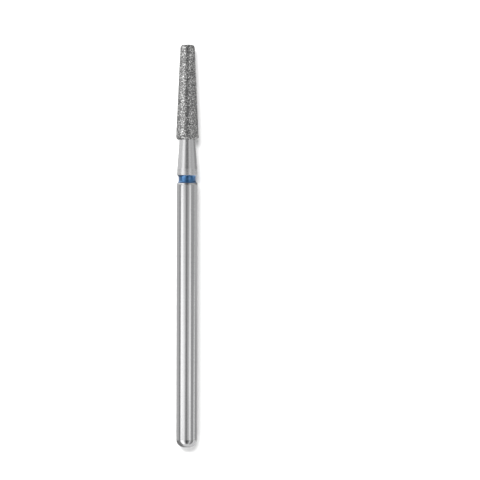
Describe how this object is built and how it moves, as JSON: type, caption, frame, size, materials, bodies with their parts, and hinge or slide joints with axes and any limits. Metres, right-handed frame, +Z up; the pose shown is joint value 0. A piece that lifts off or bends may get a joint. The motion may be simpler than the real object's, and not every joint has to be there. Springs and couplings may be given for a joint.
{
  "type": "diamond bur",
  "caption": "Tapered diamond bur for a straight handpiece: round steel shank, coloured grit ring, tapered neck and a slim conical head covered in bonded diamond grit.",
  "frame": {"origin": "on the surface that the bur lies on, under the middle of its length", "axes": "+Y along the bur's axis from the butt of the shank to the tip of the head, +Z up, +X to the right of the tip"},
  "size_m": [0.0026, 0.045, 0.0025],
  "materials": {
    "steel": "ground and polished, with fine marks around the axis",
    "diamond_grit": "diamond grains of medium size bonded in dull nickel, rough all over",
    "blue_lacquer": "glossy blue lacquer"
  },
  "bodies": {
    "root": {"steel_blank": "steel", "diamond_coating": "diamond_grit", "colour_ring": "blue_lacquer"}
  },
  "joints": []
}
